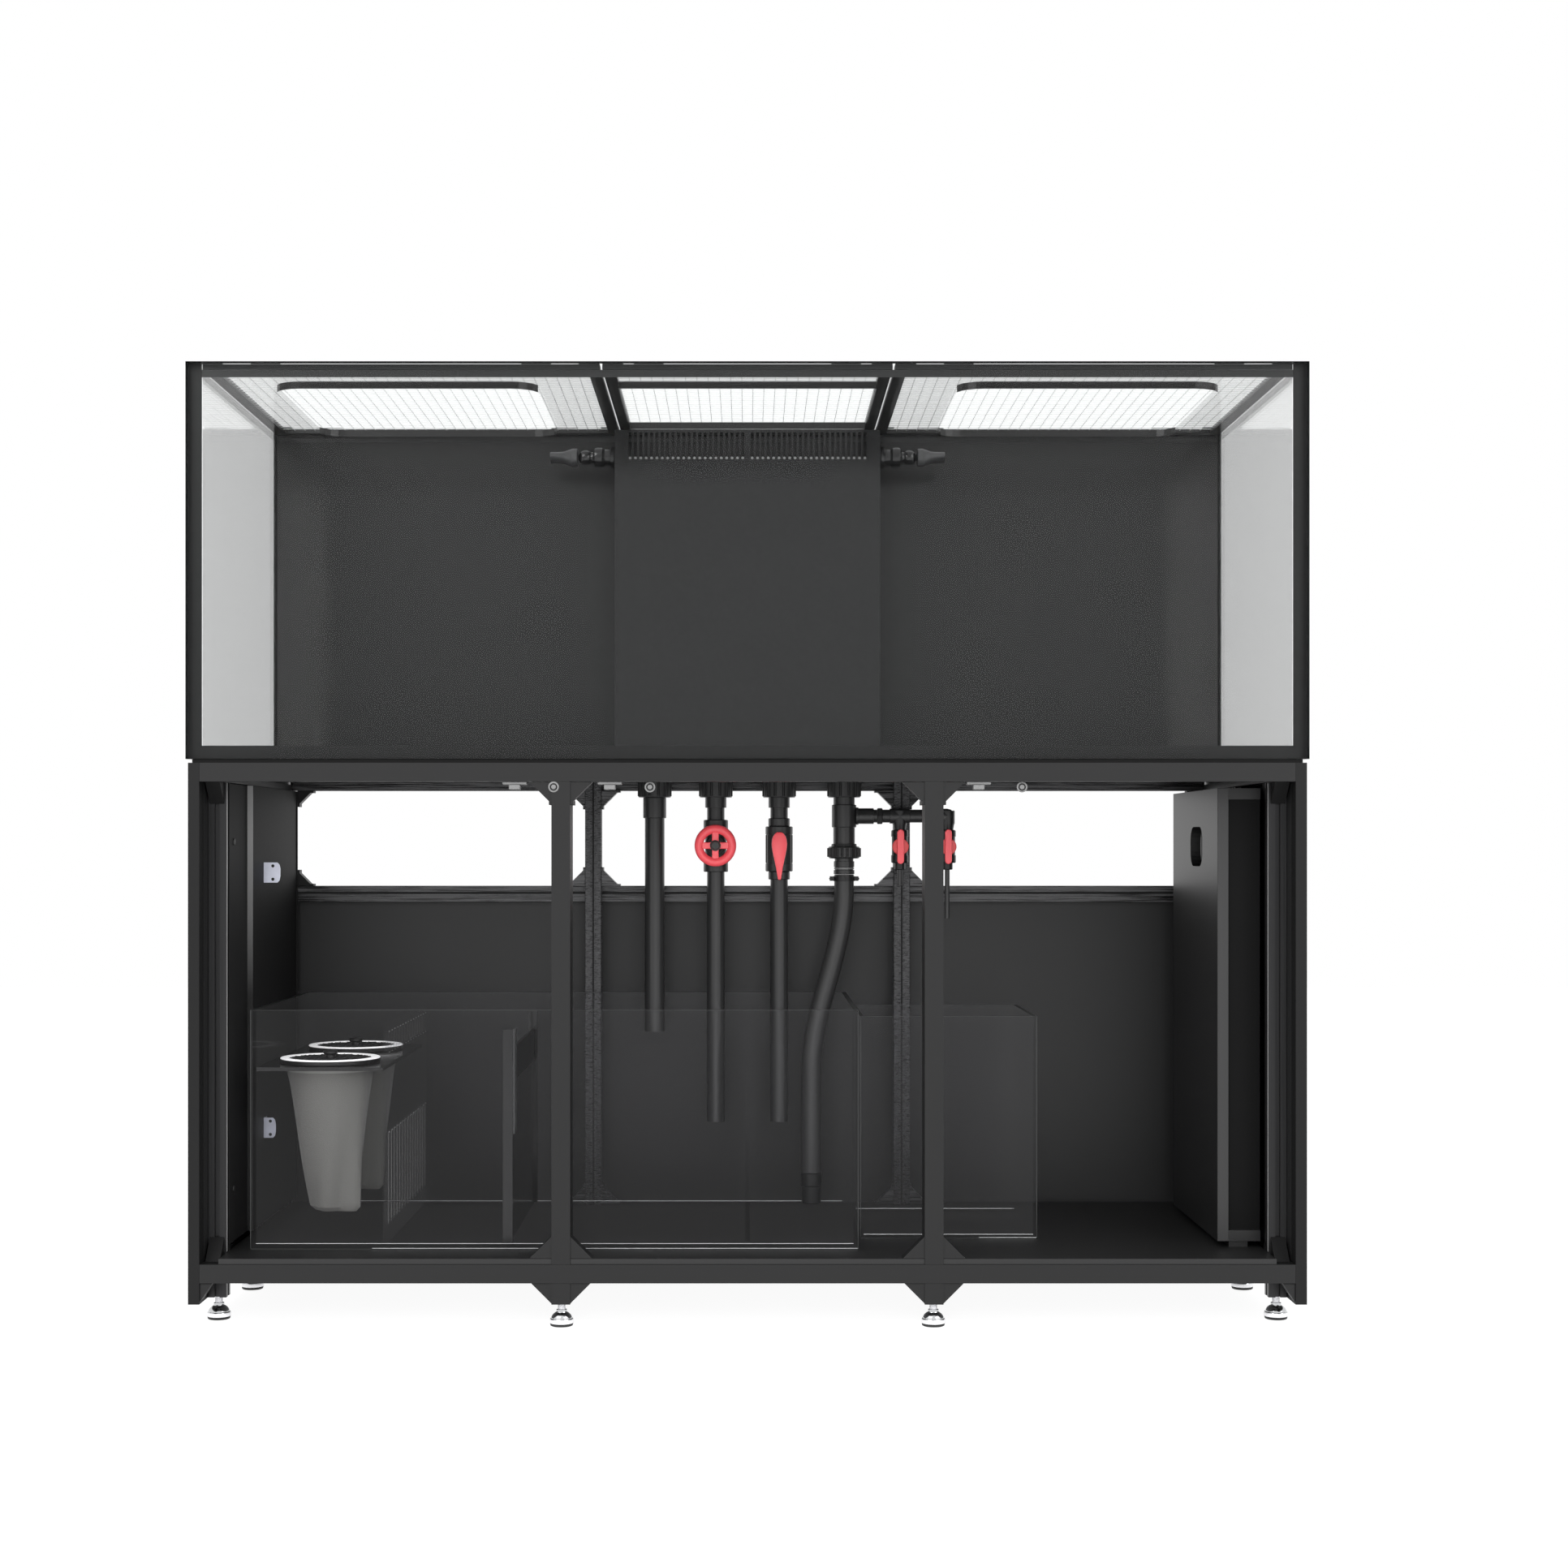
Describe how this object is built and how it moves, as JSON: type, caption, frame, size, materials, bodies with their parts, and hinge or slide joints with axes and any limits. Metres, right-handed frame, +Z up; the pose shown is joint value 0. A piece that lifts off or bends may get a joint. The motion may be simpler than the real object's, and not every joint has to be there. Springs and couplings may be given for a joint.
{
  "type": "aquarium on stand",
  "caption": "Rimless glass aquarium with net covers on an open black cabinet that holds a sump, filter socks, valved pipes and a pull-out control box.",
  "frame": {"origin": "on the floor under the middle of the cabinet, at the bottom centre of the bounding box", "axes": "+X to the right along the length, -Y towards the front, +Z up"},
  "size_m": [1.8, 0.65, 1.548],
  "materials": {
    "clear_glass": "polished low-iron glass",
    "black_glass": "polished black-backed glass",
    "tinted_glass": "polished grey-tinted glass",
    "overflow_plastic": "satin black acrylic",
    "cover_aluminium": "black anodised bars with a fine grey net",
    "mat_foam": "closed-cell foam",
    "cabinet_board": "matt black laminated board",
    "frame_aluminium": "black anodised extrusion",
    "foot_chrome": "polished, on a black rubber pad",
    "pipe_plastic": "dark grey PVC",
    "valve_red": "satin red plastic",
    "hose_rubber": "smooth black hose",
    "sock_felt": "off-white needled felt under a white plastic ring"
  },
  "bodies": {
    "root": {"tank_bottom_pane": "clear_glass", "tank_front_pane": "clear_glass", "tank_left_pane": "clear_glass", "tank_right_pane": "clear_glass", "tank_top_brace": "clear_glass", "tank_back_pane": "black_glass", "sump_tank": "tinted_glass", "sump_sock_wall": "tinted_glass", "sump_weir_wall": "tinted_glass", "sock_holder": "tinted_glass", "ato_reservoir": "tinted_glass", "overflow_box": "overflow_plastic", "hose_fitting": "overflow_plastic", "levelling_mat": "mat_foam", "side_panel_left": "cabinet_board", "side_panel_right": "cabinet_board", "back_panel": "cabinet_board", "floor_panel": "cabinet_board", "front_top_rail": "frame_aluminium", "front_bottom_rail": "frame_aluminium", "front_post_left": "frame_aluminium", "front_post_right": "frame_aluminium", "back_top_rail": "frame_aluminium", "back_middle_rail": "frame_aluminium", "back_bottom_rail": "frame_aluminium", "back_post_left": "frame_aluminium", "back_post_right": "frame_aluminium", "side_frame_left": "frame_aluminium", "side_frame_right": "frame_aluminium", "foot_corner_front_left": "foot_chrome", "foot_corner_front_right": "foot_chrome", "foot_corner_middle_left": "foot_chrome", "foot_corner_middle_right": "foot_chrome", "foot_corner_back_left": "foot_chrome", "foot_corner_back_right": "foot_chrome", "foot_inner_front_left": "foot_chrome", "foot_inner_front_right": "foot_chrome", "foot_inner_back_left": "foot_chrome", "foot_inner_back_right": "foot_chrome", "drain_pipe": "pipe_plastic", "gate_valve_pipe": "pipe_plastic", "ball_valve_pipe": "pipe_plastic", "return_pipe": "pipe_plastic", "return_manifold": "pipe_plastic", "return_hose": "hose_rubber"},
    "gate_handwheel": {"gate_handwheel": "valve_red"},
    "ball_valve_lever": {"ball_valve_lever": "valve_red"},
    "manifold_lever_inner": {"manifold_lever_inner": "valve_red"},
    "manifold_lever_outer": {"manifold_lever_outer": "valve_red"},
    "control_box": {"control_box": "cabinet_board"},
    "cover_left": {"cover_left": "cover_aluminium"},
    "cover_centre": {"cover_centre": "cover_aluminium"},
    "cover_right": {"cover_right": "cover_aluminium"},
    "filter_sock_front": {"filter_sock_front": "sock_felt"},
    "filter_sock_rear": {"filter_sock_rear": "sock_felt"},
    "weir_gate": {"weir_gate": "overflow_plastic"},
    "nozzle_elbow_left": {"nozzle_elbow_left": "overflow_plastic"},
    "nozzle_tip_left": {"nozzle_tip_left": "overflow_plastic"},
    "nozzle_elbow_right": {"nozzle_elbow_right": "overflow_plastic"},
    "nozzle_tip_right": {"nozzle_tip_right": "overflow_plastic"}
  },
  "joints": [
    {"name": "gate_handwheel_turn", "type": "hinge", "parent": "root", "child": "gate_handwheel", "pos_m": [-0.058, 0.168, 0.773], "axis": [0, -1, 0], "range_deg": [0, 1890]},
    {"name": "ball_valve_lever_turn", "type": "hinge", "parent": "root", "child": "ball_valve_lever", "pos_m": [0.058, 0.194, 0.771], "axis": [0, -1, 0], "range_deg": [0, 90]},
    {"name": "manifold_lever_inner_turn", "type": "hinge", "parent": "root", "child": "manifold_lever_inner", "pos_m": [0.279, 0.2037, 0.771], "axis": [0, -1, 0], "range_deg": [0, 90]},
    {"name": "manifold_lever_outer_turn", "type": "hinge", "parent": "root", "child": "manifold_lever_outer", "pos_m": [0.366, 0.2037, 0.771], "axis": [0, -1, 0], "range_deg": [0, 90]},
    {"name": "control_box_slide", "type": "slide", "parent": "root", "child": "control_box", "axis": [0, -1, 0], "range_m": [0, 0.35]},
    {"name": "cover_left_slide", "type": "slide", "parent": "root", "child": "cover_left", "axis": [0, 0, 1], "range_m": [0, 0.25]},
    {"name": "cover_centre_slide", "type": "slide", "parent": "root", "child": "cover_centre", "axis": [0, 0, 1], "range_m": [0, 0.25]},
    {"name": "cover_right_slide", "type": "slide", "parent": "root", "child": "cover_right", "axis": [0, 0, 1], "range_m": [0, 0.25]},
    {"name": "filter_sock_front_slide", "type": "slide", "parent": "root", "child": "filter_sock_front", "axis": [0, 0, 1], "range_m": [0, 0.26]},
    {"name": "filter_sock_rear_slide", "type": "slide", "parent": "root", "child": "filter_sock_rear", "axis": [0, 0, 1], "range_m": [0, 0.26]},
    {"name": "weir_gate_slide", "type": "slide", "parent": "root", "child": "weir_gate", "axis": [0, 0, 1], "range_m": [0, 0.08]},
    {"name": "nozzle_elbow_left_turn", "type": "hinge", "parent": "root", "child": "nozzle_elbow_left", "pos_m": [-0.294, 0.19, 1.478], "axis": [1, 0, 0], "range_deg": [-60, 60]},
    {"name": "nozzle_tip_left_turn", "type": "hinge", "parent": "nozzle_elbow_left", "child": "nozzle_tip_left", "pos_m": [-0.294, 0.19, 1.478], "axis": [0, 1, 0], "range_deg": [-20, 20]},
    {"name": "nozzle_elbow_right_turn", "type": "hinge", "parent": "root", "child": "nozzle_elbow_right", "pos_m": [0.294, 0.19, 1.478], "axis": [1, 0, 0], "range_deg": [-60, 60]},
    {"name": "nozzle_tip_right_turn", "type": "hinge", "parent": "nozzle_elbow_right", "child": "nozzle_tip_right", "pos_m": [0.294, 0.19, 1.478], "axis": [0, 1, 0], "range_deg": [-20, 20]}
  ]
}
